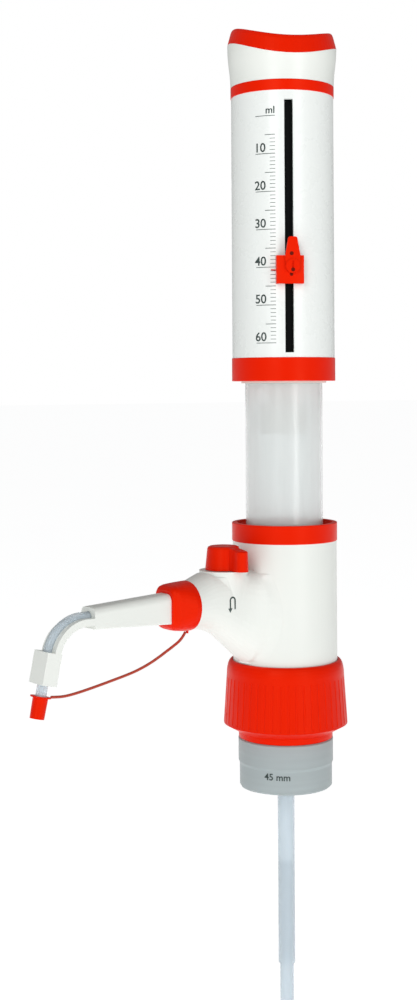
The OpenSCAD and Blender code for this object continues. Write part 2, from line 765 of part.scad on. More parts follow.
// ---- spout ----
module leash_anchor() {
    color(orange) union() {
        along_arm(rim_x, arm_z) ring(rim_r, nut_cavity_r, 0, anchor_t);
        translate([-rim_x - anchor_t, -leash_d / 2, anchor_tab_z - leash_d / 2])
            cube([anchor_t, leash_d, 2.2 + leash_d / 2]);
    }
}

// cross-section of the spout arm, rounder on top than below
module spout_profile(w, h) {
    top_r = min(w, h) * 0.3;
    foot_r = 0.8;
    hull() {
        for (y = [-1, 1]) {
            translate([h / 2 - top_r, y * (w / 2 - top_r)]) circle(r = top_r, $fn = 32);
            translate([-h / 2 + foot_r, y * (w / 2 - foot_r)]) circle(r = foot_r, $fn = 16);
        }
    }
}

module spout_coupling() {
    stations = [[0, 0, 0, 2], [2, 0.1, 0.1, 2.1], [5, 1.2, 0.4, 2.5], [8, 2.2, 0.8, 3],
        [10.5, 2.9, 1.2, 3.6], [12.2, 3.6, 1.8, 4], [13.2, 4.4, 2.7, 4.2], [13.7, 5, 3.6, 4.2]];
    full = stations[len(stations) - 1][0];
    color(orange) difference() {
        skin([for (s = stations) loop_yz([coupling_x + s[0] * coupling_l / full, rim_r + 0.3 - s[1],
            arm_z + 0.1, rim_r + 0.3 - s[2], s[3]])]);
        along_arm(coupling_x - over, arm_z)
            cylinder(r = nut_cavity_r, h = root_x + root_t + fit - coupling_x + over);
        spout_taper(fit);
    }
}

// tapered length of the spout arm, made bigger all round by grow
module spout_taper(grow) {
    slice = 0.1;
    root_end = root_x + root_t;
    back = (coupling_end_x - root_end) / (spout_end_x - coupling_end_x);
    root_h = spout_h0 + (spout_h0 - spout_h1) * back;
    hull() {
        along_arm(root_end - slice, arm_z + spout_sag * back)
            linear_extrude(slice) spout_profile(spout_w + 2 * grow, root_h + 2 * grow);
        along_arm(spout_end_x - slice, arm_z - spout_sag)
            linear_extrude(slice) spout_profile(spout_w + 2 * grow, spout_h1 + 2 * grow);
    }
}

module spout_arm() {
    color(white) difference() {
        union() {
            along_arm(root_x, arm_z) cylinder(r = root_half, h = root_t);
            spout_taper(0);
            bend_support();
            guide_block();
        }
        along_arm(root_x - over, arm_z) cylinder(r = tube_r + fit, h = bend_x - root_x + over, $fn = 64);
        bend_sweep() circle(r = tube_r + fit, $fn = 64);
        at_tip(-lap) cylinder(r = tube_r + fit + slip, h = block_l + lap + over, $fn = 64);
    }
}

// sweeps a profile along the bend, X of the profile pointing away from the bend's centre
module bend_sweep() {
    translate([-bend_x, 0, arm_z - bend_r]) rotate([90, 0, 0]) rotate([0, 0, 90])
        rotate_extrude(angle = bend_angle) translate([bend_r, 0]) children();
}

module bend_support() {
    depth = tube_r + channel_floor;
    difference() {
        union() {
            bend_sweep() translate([-depth, -spout_w / 2]) square([depth + channel_rim, spout_w]);
            translate([-bend_x - 0.01, -spout_w / 2, arm_z - depth])
                cube([bend_lead + 0.01 + over, spout_w, depth + channel_rim]);
        }
        for (a = notch_angles) translate([-bend_x, 0, arm_z - bend_r]) rotate([0, -a, 0])
            translate([-0.4, -spout_w, bend_r - depth - over]) cube([0.8, 2 * spout_w, over + 0.6]);
    }
}

module guide_block() {
    at_tip(-lap) translate([-block_t / 2, -spout_w / 2, 0]) cube([block_t, spout_w, block_l + lap]);
}

module delivery_tube() {
    start_x = nipple_x + 1;
    bore_r = tube_bore / 2;
    seam = 0.02;
    color("lightblue", 0.6) difference() {
        union() {
            along_arm(start_x, arm_z) cylinder(r = tube_r - seam, h = bend_x - start_x + lap, $fn = 64);
            bend_sweep() circle(r = tube_r, $fn = 64);
            at_tip(-lap) cylinder(r = tube_r - seam, h = tube_end_s + lap, $fn = 64);
        }
        along_arm(start_x - over, arm_z)
            cylinder(r = bore_r - seam, h = bend_x - start_x + over + lap, $fn = 64);
        bend_sweep() circle(r = bore_r, $fn = 64);
        at_tip(-lap) cylinder(r = bore_r - seam, h = tube_end_s + over + lap, $fn = 64);
    }
}

module spout_cap() {
    color(orange) at_tip(cap_top_s) difference() {
        union() {
            cylinder(r1 = cap_r + 0.1, r2 = cap_r - 0.1, h = cap_l);
            cylinder(r = cap_flange_r, h = cap_flange_t);
        }
        translate([0, 0, -over]) cylinder(r = tube_r + slip, h = tip_in_cap + 0.5 + over, $fn = 64);
    }
}

module cap_leash() {
    flange_edge = cap_flange_r + leash_d / 2;
    cap_end = [tip_x + cap_top_s * sin(tip_lean) - flange_edge * cos(tip_lean),
        tip_z - cap_top_s * cos(tip_lean) - flange_edge * sin(tip_lean)];
    start = [rim_x + anchor_t + leash_d / 2, anchor_tab_z];
    route = concat([start], [for (p = leash_mid) [p[0], arm_z - rim_r + p[1]]], [cap_end]);
    color(orange) skin(hoops([for (p = smooth(route)) [-p[0], 0, p[1]]], leash_d / 2, 8, [0, 1, 0]));
}

// ---- piston sleeve ----
module saddle_cut(z) {
    translate([saddle_shift, 0, z + saddle_r]) rotate([90, 0, 0])
        cylinder(r = saddle_r, h = 4 * casing_r, center = true, $fn = 180);
}

module top_cap() {
    function hoop(r, k, lift) = [for (i = [0 : cap_sides - 1]) let (a = 360 * i / cap_sides)
        [r * cos(a), r * sin(a), k + lift + saddle(r * cos(a))]];
    low = rim_low + slip;
    high = rim_low + cap_t;
    under = [for (f = cap_rings) hoop(casing_r * f, low, 0)];
    crown_r = casing_r - cap_lean - 1.3;
    crown = [for (i = [len(cap_rings) - 1 : -1 : 0]) hoop(crown_r * cap_rings[i], high, 0)];
    side = [hoop(casing_r, low, 0), hoop(casing_r - cap_lean * 0.1, low, cap_t * 0.12),
        hoop(casing_r - cap_lean * 0.75, low, cap_t * 0.75), hoop(casing_r - cap_lean, low, cap_t - 1),
        hoop(casing_r - cap_lean - 0.5, low, cap_t - 0.35), hoop(crown_r, low, cap_t - slip)];
    color(orange) face_scale() skin(concat(under, side, crown));
}

module upper_casing() {
    spread = casing_r - band_r;
    flare = [for (i = [0 : 6]) [band_r + spread * (1 - cos(30 * i)) / 2, band_top + flare_h * i / 6]];
    inner = [for (i = [6 : -1 : 3]) [flare[i][0] - casing_wall, flare[i][1]]];
    top = rim_low + 20;
    bore = sleeve_bore_r - 2;
    web_top = web_z + web_t;
    color(white) face_scale() difference() {
        rotate_extrude() polygon(concat(
            [[3, web_z], [bore, web_z], [bore, sleeve_top - spigot_h],
             [sleeve_bore_r - fit, sleeve_top - spigot_h], [sleeve_bore_r - fit, band_top]],
            flare, [[casing_r, top], [casing_r - casing_wall, top]], inner,
            [[inner[3][0], web_top], [3, web_top]]));
        saddle_cut(rim_low);
    }
}

module seam_band() { color(orange) soft_ring(band_r, sleeve_bore_r, sleeve_top, band_h, 0.3); }

module slotted_sleeve() {
    color(white) face_scale() difference() {
        ring(sleeve_r, sleeve_bore_r, sleeve_z, sleeve_h);
        translate([-slot_w / 2, -sleeve_r - over, slot_z]) cube([slot_w, sleeve_r, slot_l]);
    }
}

module sleeve_ring() { color(orange) soft_ring(ring_r, bush_r + fit, ring_z, ring_h, 0.3); }

module guide_bush() { color("white") ring(bush_r, bush_bore_r, ring_z - bush_drop, bush_h); }

// a piece of tube wall, centred on the scale, as wide as half_angle each way
module wall_piece(r_out, r_in, half_angle, z, h) {
    translate([0, 0, z]) rotate([0, 0, -90 - half_angle]) rotate_extrude(angle = 2 * half_angle)
        translate([r_in, 0]) square([r_out - r_in, h]);
}

module slot_liner() {
    liner_h = sleeve_h - spigot_h - slip;
    color("black") face_scale() wall_piece(liner_r, liner_r - liner_t, liner_half, sleeve_z, liner_h);
}

module piston_rod() {
    color("white") difference() {
        translate([0, 0, piston_top]) cylinder(r = rod_r, h = web_z - piston_top);
        translate([0, 0, web_z - 14]) cylinder(r = 2, h = 15, $fn = 32);
    }
}

module piston_head() {
    color("white") difference() {
        translate([0, 0, piston_z]) cylinder(r = piston_bore_r - slip, h = piston_h);
        for (z = [piston_z + 1.5, piston_top - 3.5])
            ring(piston_bore_r + over, piston_bore_r - 2.2, z, 2);
    }
}

module piston_seals() {
    color("gray") for (z = [piston_z + 1.5, piston_top - 3.5])
        ring(piston_bore_r - 0.03, piston_bore_r - 2.2 + slip, z + slip, 2 - 2 * slip);
}

module rod_screw() {
    color("silver") translate([0, 0, web_z]) {
        translate([0, 0, web_t]) cylinder(r = 5, h = 3);
        translate([0, 0, -12]) cylinder(r = 2 - slip, h = 12 + web_t + 0.1, $fn = 32);
    }
}

// ---- volume pointer ----
module pointer_block() {
    color(orange) face_scale() difference() {
        union() {
            intersection() {
                ring(pointer_front_r, pointer_back_r, index_z - pointer_h, 2 * pointer_h);
                translate([-pointer_w / 2, -2 * sleeve_r, index_z - pointer_h / 2])
                    cube([pointer_w, 2 * sleeve_r, pointer_h]);
            }
            translate([-pointer_w / 2 - 2.4, -pointer_back_r + 0.2, index_z - 0.25]) cube([2.6, 0.5, 0.5]);
            translate([-neck_w / 2, -pointer_front_r + 1, neck_foot])
                cube([neck_w, pointer_front_r - 1 - plate_r, neck_h]);
        }
        at_lock(liner_r) cylinder(r = lock_shank_r + slip, h = sleeve_r, $fn = 32);
    }
}

// axis of the lock lever, pointing out of the slot, from a distance out
module at_lock(out) { translate([lock_x, -out, lock_z]) rotate([90, 0, 0]) children(); }

module clamp_plate() {
    wing_h = 3;
    color("dimgray") face_scale() difference() {
        union() {
            wall_piece(plate_r, plate_r - plate_t, plate_half, neck_foot, neck_h);
            for (side = [-1, 1]) rotate([0, 0, side * (plate_half + wing_half) / 2])
                wall_piece(plate_r, wing_r, (plate_half - wing_half) / 2, index_z - 0.7 - wing_h, wing_h);
        }
        at_lock(liner_r) cylinder(r = lock_shank_r + slip, h = 3, $fn = 32);
    }
}

module lock_lever() {
    tip_r = 1.2;
    shoulder = index_z + pointer_h / 2 - lock_z - 1;
    color(orange) face_scale() difference() {
        union() {
            at_lock(lever_y) cylinder(r = lock_d / 2, h = lever_t, $fn = 64);
            at_lock(lever_y) linear_extrude(tab_t) hull() {
                circle(r = lock_d / 2 - 0.1, $fn = 48);
                translate([-tab_w / 2, shoulder]) square([tab_w, 0.1]);
            }
            at_lock(lever_y) linear_extrude(tab_t) hull() {
                translate([-tab_w / 2, shoulder]) square([tab_w, 0.1]);
                for (x = [-1, 1]) translate([x * (tab_tip_w / 2 - tip_r), tab_reach - tip_r])
                    circle(r = tip_r, $fn = 24);
            }
            at_lock(plate_r - plate_t + slip)
                cylinder(r = lock_shank_r, h = lever_y - plate_r + plate_t + 0.5, $fn = 32);
        }
        at_lock(lever_y + lever_t - 0.8)
            translate([-0.5, -lock_d / 2 + 0.9, 0]) cube([1, lock_d - 1.8, over]);
    }
}

bottle_adapter();
rim_seal();
stub_gasket();
union_nut();
valve_core();
housing_front();
housing_rear();
housing_collar();
clamp_ring();
glass_barrel();
barrel_seal();
guard_tube();
barrel_head();
intake_insert();
intake_cage();
intake_ball();
filling_tube_upper();
filling_tube_lower();
return_tube();
outlet_seat();
outlet_ball();
outlet_spring();
tube_nipple();
valve_plug();
plug_ring();
valve_knob();
leash_anchor();
spout_coupling();
spout_arm();
delivery_tube();
spout_cap();
cap_leash();
top_cap();
upper_casing();
seam_band();
slotted_sleeve();
sleeve_ring();
guide_bush();
slot_liner();
piston_rod();
piston_head();
piston_seals();
rod_screw();
pointer_block();
clamp_plate();
lock_lever();
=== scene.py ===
"""Looks of a bottle top dispenser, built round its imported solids."""
import json
import math

import bpy
from mathutils import Matrix, Vector

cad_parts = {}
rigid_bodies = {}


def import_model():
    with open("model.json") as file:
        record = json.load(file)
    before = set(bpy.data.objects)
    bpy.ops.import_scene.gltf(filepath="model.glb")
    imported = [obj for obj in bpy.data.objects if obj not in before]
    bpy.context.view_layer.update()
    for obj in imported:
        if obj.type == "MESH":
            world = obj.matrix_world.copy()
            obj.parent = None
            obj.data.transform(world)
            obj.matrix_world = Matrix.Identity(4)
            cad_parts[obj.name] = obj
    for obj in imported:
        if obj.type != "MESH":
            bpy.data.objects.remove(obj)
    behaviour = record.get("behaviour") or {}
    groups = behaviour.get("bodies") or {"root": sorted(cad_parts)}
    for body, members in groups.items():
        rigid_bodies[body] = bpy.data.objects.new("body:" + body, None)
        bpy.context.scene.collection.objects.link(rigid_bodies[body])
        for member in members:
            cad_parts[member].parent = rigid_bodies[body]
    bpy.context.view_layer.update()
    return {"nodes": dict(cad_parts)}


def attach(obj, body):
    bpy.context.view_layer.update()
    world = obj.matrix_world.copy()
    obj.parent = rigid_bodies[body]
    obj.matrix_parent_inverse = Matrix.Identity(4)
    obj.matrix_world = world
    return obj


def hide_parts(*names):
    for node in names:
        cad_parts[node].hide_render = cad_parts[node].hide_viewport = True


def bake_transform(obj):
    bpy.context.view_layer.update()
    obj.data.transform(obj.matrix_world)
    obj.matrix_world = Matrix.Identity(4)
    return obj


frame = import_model()
node = frame["nodes"]
MM = 0.001

# ---- camera ----
SPOUT_TURN = -40.0
EYE_AWAY, EYE_UP = 0.8, 0.1924
PAN, ROLL = 2.853, -0.33
LENS, SENSOR, NEAREST = 54.3, 36, 0.01
VIEW_SHIFT = -0.113

bpy.ops.object.camera_add()
camera = bpy.context.object
camera.name = "camera"
heading = math.radians(SPOUT_TURN)
camera.matrix_world = (
    Matrix.Translation((EYE_AWAY * math.sin(heading), -EYE_AWAY * math.cos(heading), EYE_UP))
    @ Matrix.Rotation(heading + math.radians(PAN), 4, "Z")
    @ Matrix.Rotation(math.radians(90), 4, "X")
    @ Matrix.Rotation(math.radians(ROLL), 4, "Z"))
camera.data.shift_y = VIEW_SHIFT
camera.data.sensor_width = SENSOR
camera.data.lens = LENS
camera.data.clip_start = NEAREST
bpy.context.scene.camera = camera


# ---- hands ----
def let_go():
    bpy.ops.object.select_all(action="DESELECT")


def take(*things):
    """Selects these objects, the last one active."""
    let_go()
    for thing in things:
        thing.select_set(True)
        bpy.context.view_layer.objects.active = thing


def open_mesh():
    """Opens the active mesh for editing, all of it selected."""
    bpy.ops.object.mode_set(mode="EDIT")
    bpy.ops.mesh.select_all(action="SELECT")


def close_mesh():
    bpy.ops.object.mode_set(mode="OBJECT")


def pick(piece, wanted):
    """Leaves the open mesh with just the corners selected that are wanted."""
    close_mesh()
    for corner in piece.data.vertices:
        corner.select = wanted(corner)
    bpy.ops.object.mode_set(mode="EDIT")


def settle(piece):
    """The piece's place goes into its mesh."""
    take(piece)
    bpy.ops.object.transform_apply(location=True, rotation=True, scale=True)
    return piece


def put(piece, place):
    """Sets the piece at a place, ready to be laid on what is behind it."""
    piece.matrix_world = place
    bpy.context.view_layer.update()


def apply_all(piece):
    """The piece's modifiers go into its mesh."""
    take(piece)
    for modifier in [m.name for m in piece.modifiers]:
        bpy.ops.object.modifier_apply(modifier=modifier)
    return piece


def loose_copy(part):
    """A copy of a piece with its own mesh, on no body."""
    take(part)
    bpy.ops.object.duplicate()
    bpy.ops.object.parent_clear(type="CLEAR_KEEP_TRANSFORM")
    return bpy.context.object


def join(pieces, name):
    """Makes one piece of several."""
    take(*pieces)
    if len(pieces) > 1:
        bpy.ops.object.join()
    piece = bpy.context.object
    piece.name = name
    return piece


def finished(piece, name, body, finish, smooth):
    """Names the piece, gives it its finish and sets it on its body. With no angle its faces stay flat."""
    piece.name = name
    settle(piece)
    piece.data.materials.clear()
    piece.data.materials.append(finish)
    if smooth:
        bpy.ops.object.shade_smooth_by_angle(angle=math.radians(smooth))
    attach(piece, body)


# ---- finishes ----
class Shade:
    """One changing value of a finish. Sums of shades add the nodes that work them out."""

    def __init__(self, finish, socket):
        self.finish, self.socket = finish, socket

    def _sum(self, operation, first, second):
        return self.finish.add("ShaderNodeMath", {"operation": operation}, {0: first, 1: second})

    def __add__(self, other):
        return self._sum("ADD", self, other)

    def __radd__(self, other):
        return self._sum("ADD", other, self)

    def __mul__(self, other):
        return self._sum("MULTIPLY", self, other)

    def __rmul__(self, other):
        return self._sum("MULTIPLY", other, self)

    def clipped(self):
        return self.finish.add("ShaderNodeClamp", {}, {"Value": self})


class Finish:
    """A material under the Principled shader."""

    def __init__(self, name, **shell):
        self.material = bpy.data.materials.new(name)
        self.material.use_nodes = True
        self.tree = self.material.node_tree
        self.shader = self.tree.nodes["Principled BSDF"]
        for socket, value in shell.items():
            self.shader.inputs[socket.replace("_", " ")].default_value = value
        self.place = self.add("ShaderNodeTexCoord", {}, {}, "Object")

    def add(self, kind, settings, sockets, out=0):
        made = self.tree.nodes.new(kind)
        for key, value in settings.items():
            if key == "stops":
                for stop, (where, shade) in zip(made.color_ramp.elements, value):
                    stop.position, stop.color = where, (shade, shade, shade, 1)
            else:
                setattr(made, key, value)
        for key, value in sockets.items():
            self.join(value, made.inputs[key])
        return Shade(self, made.outputs[out])

    def join(self, value, socket):
        if isinstance(value, Shade):
            self.tree.links.new(value.socket, socket)
        else:
            socket.default_value = value

    def noise(self, size, detail=2.0, stretch=None):
        """Noise of a size in metres, drawn out where the stretch is small."""
        where = self.place
        if stretch:
            where = self.add("ShaderNodeMapping", {}, {"Vector": where, "Scale": stretch})
        return self.add("ShaderNodeTexNoise", {},
                        {"Vector": where, "Scale": 1 / size, "Detail": detail})

    def ramp(self, value, *stops):
        """A ramp between two stops, each a place and a grey."""
        return self.add("ShaderNodeValToRGB", {"stops": stops}, {"Fac": value})

    def blend(self, amount, first, second):
        return self.add("ShaderNodeMix", {"data_type": "RGBA"},
                        {"Factor": amount, 6: (*first, 1), 7: (*second, 1)}, 2)

    def colour(self, value):
        self.join(value, self.shader.inputs["Base Color"])

    def roughness(self, value):
        self.join(value, self.shader.inputs["Roughness"])

    def bump(self, height, depth):
        self.join(self.add("ShaderNodeBump", {}, {"Height": height, "Distance": depth}),
                  self.shader.inputs["Normal"])


def darker(colour, share):
    return tuple(c * share for c in colour)


# Sizes of the patterns and depths of their bumps, in metres
CLOUD, PATCH, SHEEN, WAVE = 0.03, 0.012, 0.006, 0.008
GRAIN, GRAIN_DEPTH = 0.00035, 0.000012
DRAW_LINE, DRAW_DEPTH, DUST, HAZE = 0.0012, 0.000015, 0.0007, 0.01
METAL_LINE, METAL_DEPTH = 0.0004, 0.00001
INK_WEAR, INK_SHEEN = 0.0006, 0.002


def moulded(name, light, dark, rough=0.36, grain=GRAIN, depth=GRAIN_DEPTH, **shell):
    """Injection moulded plastic: a faint cloudiness, fine spark-eroded grain and handled patches."""
    finish = Finish(name, IOR=1.49, **shell)
    cloud = finish.noise(CLOUD, 3)
    handled = finish.ramp(finish.noise(PATCH, 4), (0.42, 0.0), (0.62, 1.0))
    finish.colour(finish.blend(cloud * 0.75 + 0.1, light, dark))
    finish.roughness(finish.noise(SHEEN, 3) * 0.12 + handled * 0.06 + (rough - 0.07))
    waviness = finish.noise(WAVE, 1)
    finish.bump(finish.noise(grain, 2) + waviness * 2.0, depth)
    return finish.material


def clear(name, tint, rough, through, streak, ior=1.45, drawn=(1, 1, 0.03), **shell):
    """See-through wall with fine dust, and with drawing lines that run where drawn is small."""
    finish = Finish(name, IOR=ior, Transmission_Weight=through, **shell)
    lines = finish.noise(DRAW_LINE, 2, stretch=drawn)
    dust = finish.ramp(finish.noise(DUST, 3), (0.66, 0.0), (0.8, 1.0))
    finish.colour(finish.blend((lines * streak + dust * 0.06).clipped(), tint, darker(tint, 0.86)))
    finish.roughness(finish.noise(HAZE, 3) * 0.08 + dust * 0.04 + (rough - 0.04))
    finish.bump(lines, DRAW_DEPTH)
    return finish.material


def drawn_metal(name, tint, rough):
    """Wire and rod with fine drawing lines."""
    finish = Finish(name, Metallic=1.0)
    lines = finish.noise(METAL_LINE, 2, stretch=(1, 1, 0.05))
    finish.colour(finish.blend(lines, tint, darker(tint, 0.7)))
    finish.roughness(lines * 0.2 + rough)
    finish.bump(lines, METAL_DEPTH)
    return finish.material


def printed(name, fresh, worn):
    """Ink that has worn a little in small spots."""
    finish = Finish(name, Specular_IOR_Level=0.3)
    spots = finish.ramp(finish.noise(INK_WEAR, 3), (0.55, 0.0), (0.75, 1.0))
    finish.colour(finish.blend(spots, fresh, worn))
    finish.roughness(finish.noise(INK_SHEEN) * 0.2 + 0.35)
    return finish.material


orange = moulded("orange_moulding", (0.80, 0.013, 0.0), (0.70, 0.009, 0.0),
                 Specular_IOR_Level=0.22, Specular_Tint=(1.0, 0.36, 0.16, 1))
# Painted shade: a near-black orange for flat discs that stand for the dark insides of small holes
painted_hole_shade = moulded("shadowed_moulding", (0.16, 0.006, 0.0), (0.09, 0.004, 0.0), 0.6,
                      Specular_IOR_Level=0.1)
# The leash's orange with painted shade: darker and browner than the other orange parts, as the strap looks
# in shadow
leash_orange_painted_shade = moulded("leash_moulding_painted_shade", (0.50, 0.045, 0.016), (0.30, 0.03, 0.012), 0.42, 0.0003)
white = moulded("white_moulding", (0.80, 0.82, 0.78), (0.74, 0.77, 0.73), 0.34)
sleeve_white = moulded("sleeve_moulding", (0.81, 0.84, 0.82), (0.78, 0.81, 0.79), 0.28,
                       0.0006, 0.000006)
ivory = moulded("ivory_moulding", (0.80, 0.79, 0.73), (0.74, 0.73, 0.66), 0.4)
soft_white = moulded("soft_seal", (0.8, 0.8, 0.77), (0.72, 0.72, 0.69), 0.5)
black = moulded("black_moulding", (0.003, 0.0035, 0.0035), (0.007, 0.008, 0.008), 0.45,
                Specular_IOR_Level=0.03)
dark_rubber = moulded("dark_elastomer", (0.03, 0.032, 0.035), (0.05, 0.05, 0.052), 0.6,
                      0.0002, 0.00002)
ground_ball = moulded("ground_ceramic", (0.86, 0.86, 0.84), (0.8, 0.8, 0.78), 0.18,
                      0.0002, 0.000002)
frosted = clear("frosted_guard", (0.94, 0.97, 0.96), 0.2, 0.2, 0.3, Alpha=0.5,
                Specular_IOR_Level=0.8, Coat_Weight=0.5, Coat_Roughness=0.12)
glass = clear("drawn_glass", (0.93, 0.97, 0.97), 0.06, 1.0, 0.1, ior=1.47)
clear_tube = clear("clear_tube", (0.74, 0.83, 0.89), 0.2, 0.3, 0.25, ior=1.36, Alpha=0.62)
adapter_grey = clear("grey_adapter", (0.50, 0.57, 0.58), 0.4, 0.3, 0.9, drawn=(0.02, 0.02, 0.5))
steel = drawn_metal("drawn_steel", (0.6, 0.6, 0.62), 0.2)
print_ink = printed("scale_print", (0.035, 0.055, 0.05), (0.11, 0.14, 0.13))

PAINT = {
    orange: "union_nut housing_collar valve_knob leash_anchor spout_coupling spout_cap top_cap "
            "seam_band sleeve_ring pointer_block lock_lever",
    white: "housing_front housing_rear clamp_ring spout_arm upper_casing",
    sleeve_white: "slotted_sleeve",
    leash_orange_painted_shade: "cap_leash",
    ivory: "valve_core intake_insert intake_cage outlet_seat tube_nipple valve_plug barrel_head "
           "piston_rod piston_head guide_bush",
    soft_white: "rim_seal stub_gasket barrel_seal piston_seals",
    black: "slot_liner clamp_plate",
    dark_rubber: "plug_ring",
    ground_ball: "intake_ball outlet_ball",
    frosted: "guard_tube",
    glass: "glass_barrel",
    clear_tube: "filling_tube_upper filling_tube_lower return_tube delivery_tube",
    adapter_grey: "bottle_adapter",
    steel: "outlet_spring rod_screw",
}
for finish, names in PAINT.items():
    for name in names.split():
        for slot in node[name].material_slots:
            slot.material = finish

# ---- leash ----
LEASH_D = 1.4
# Points of its route, each how far out along the spout from the main axis, and how high
LEASH = [(65.5, 69.1), (69, 65.2), (77.5, 60.5), (87, 56), (97, 52.7), (108, 50.4), (117, 48.7),
         (125, 47.3), (132, 46.3), (138, 45.9), (144.28, 46.41)]


def halfway(route):
    """The route with a point put halfway between each two, on a smooth curve through them."""
    ends = [route[0], *route, route[-1]]
    points = []
    for before, here, after, beyond in zip(ends, ends[1:], ends[2:], ends[3:]):
        between = [((near + next_one) * 9 - back - ahead) / 16
                   for back, near, next_one, ahead in zip(before, here, after, beyond)]
        points += [here, between]
    return points + [route[-1]]


leash_path = [(-x * MM, 0.0, z * MM) for x, z in halfway(LEASH)]
leash_curve = bpy.data.curves.new("leash", "CURVE")
leash_curve.dimensions = "3D"
leash_curve.bevel_depth = LEASH_D / 2 * MM
leash_curve.bevel_resolution = 4
leash_curve.resolution_u = 6
leash_curve.use_fill_caps = True
strand = leash_curve.splines.new("BEZIER")
strand.bezier_points.add(len(leash_path) - 1)
for knot, place in zip(strand.bezier_points, leash_path):
    knot.co = place
    knot.handle_left_type = knot.handle_right_type = "AUTO"
leash = bpy.data.objects.new("leash", leash_curve)
bpy.context.collection.objects.link(leash)
take(leash)
bpy.ops.object.convert(target="MESH")
leash = bpy.context.object
leash.data.materials.clear()
leash.data.materials.append(leash_orange_painted_shade)
bpy.ops.object.shade_smooth()
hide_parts("cap_leash")
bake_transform(leash)

# ---- marks laid on walls ----
SLEEVE_R = 27.0
SLOT_TURN = -33.0
INK_LIFT, INK_THICK, INK_SPREAD = 0.03, 0.05, 0.08
CAPITAL_SHARE = 0.7


def on_wall(angle, z, radius=SLEEVE_R, lift=3.0):
    """A place just off a round wall, X along it and Y up. Angle runs round from -Y, right hand positive."""
    turn = math.radians(angle)
    out = Vector((math.sin(turn), -math.cos(turn), 0))
    side = Vector((math.cos(turn), math.sin(turn), 0))
    basis = Matrix((side, Vector((0, 0, 1)), out)).transposed().to_4x4()
    return Matrix.Translation(out * (radius + lift) * MM + Vector((0, 0, z * MM))) @ basis


def laid_on(piece, target, lift=INK_LIFT, thick=INK_THICK):
    """Presses a flat piece onto a wall behind it and gives it the thickness of ink."""
    wrap = piece.modifiers.new("wrap", "SHRINKWRAP")
    wrap.target = target
    wrap.wrap_method = "PROJECT"
    wrap.use_project_z = True
    wrap.use_negative_direction = True
    wrap.use_positive_direction = False
    wrap.offset = lift * MM
    body = piece.modifiers.new("ink", "SOLIDIFY")
    body.thickness = thick * MM
    body.offset = 1
    return apply_all(piece)


def lettering(words, height, place, target, align="CENTER"):
    """Words with capitals of a height in millimetres, laid on a wall."""
    let_go()
    bpy.ops.object.text_add()
    text = bpy.context.object
    text.data.body = words
    text.data.size = height * MM / CAPITAL_SHARE
    text.data.align_x = align
    text.data.resolution_u = 4
    text.data.offset = INK_SPREAD * MM
    bpy.ops.object.convert(target="MESH")
    piece = bpy.context.object
    open_mesh()
    bpy.ops.mesh.remove_doubles(threshold=1e-6)
    close_mesh()
    put(piece, place)
    return laid_on(piece, target)


def bar(x0, x1, y, thick):
    """A flat line from x0 to x1, in millimetres."""
    let_go()
    bpy.ops.mesh.primitive_grid_add(x_subdivisions=8, y_subdivisions=1, size=1)
    piece = bpy.context.object
    piece.scale = ((x1 - x0) * MM, thick * MM, 1)
    piece.location = ((x0 + x1) / 2 * MM, y * MM, 0)
    return settle(piece)


def flat_round(radius, sides):
    """A filled flat outline with corners at the radius."""
    let_go()
    bpy.ops.mesh.primitive_circle_add(vertices=sides, radius=radius * MM, fill_type="NGON")
    return bpy.context.object


# ---- scale on the sleeve ----
ZERO_Z = 331.4
ML = 1.9428
FULL = 60
# Turns round the sleeve from the slot, in degrees
TICK_END = -14.8
LONG, MEDIUM, SHORT = -37.6, -26.4, -20.8
MIDDLE = -26.2
NUMERALS = -32.2
BOLD, FINE = 0.3, 0.24
NUMERAL_H, NUMERAL_RISE = 4.5, 1.0
UNIT_H, UNIT_RISE = 3.6, 1.2


def across(turn):
    """How far right of the scale's middle a turn round the sleeve lies, seen flat."""
    return SLEEVE_R * math.sin(math.radians(turn - MIDDLE))


middle_z = ZERO_Z - FULL / 2 * ML
bars = []
for volume in (0, *range(5, FULL + 1)):
    start = LONG if volume % 10 == 0 else MEDIUM if volume % 5 == 0 else SHORT
    bars.append(bar(across(start), across(TICK_END), ZERO_Z - volume * ML - middle_z,
                    BOLD if volume % 5 == 0 else FINE))
ticks = join(bars, "scale_ticks")
put(ticks, on_wall(SLOT_TURN + MIDDLE, middle_z))
laid_on(ticks, node["slotted_sleeve"])
finished(ticks, "scale_ticks", "piston_sleeve", print_ink, 0)

numbers = []
for volume in range(10, FULL + 1, 10):
    numbers.append(lettering(str(volume), NUMERAL_H,
                             on_wall(SLOT_TURN + NUMERALS, ZERO_Z - volume * ML + NUMERAL_RISE),
                             node["slotted_sleeve"]))
numbers.append(lettering("ml", UNIT_H, on_wall(SLOT_TURN + TICK_END, ZERO_Z + UNIT_RISE),
                         node["slotted_sleeve"], "RIGHT"))
finished(join(numbers, "scale_numbers"), "scale_numbers", "piston_sleeve", print_ink, 0)

# ---- thread size on the adapter ----
ADAPTER_R = 25.0
SIZE_H, SIZE_TURN, SIZE_Z = 3.4, -50.5, -10.2
finished(lettering("45 mm", SIZE_H, on_wall(SIZE_TURN, SIZE_Z, ADAPTER_R), node["bottle_adapter"]),
         "thread_size", "valve_block", print_ink, 0)

# ---- fillet between arm and housing ----
# A smooth run-in, laid over the corner where the side arm meets the round housing
FILLET_FOOT, FILLET_TOP = 50.2, 96.5
FILLET_INNER, FILLET_OUTER = -7, -62.5
CELL = 0.8
SMOOTH_ROUNDS = 160
# Edges stay where they are from this far above the foot, and what is lower than the band is the foot
PINNED_ABOVE, FOOT_BAND = 0.2, 0.05
FOOT_DROP = 0.8
FILLET_WALL, FILLET_SET_IN = 1.0, -1.2


def cut_away(point, normal):
    """Drops what lies on the side of the plane that its normal points to."""
    bpy.ops.mesh.select_all(action="SELECT")
    bpy.ops.mesh.bisect(plane_co=[c * MM for c in point], plane_no=normal, clear_outer=True)


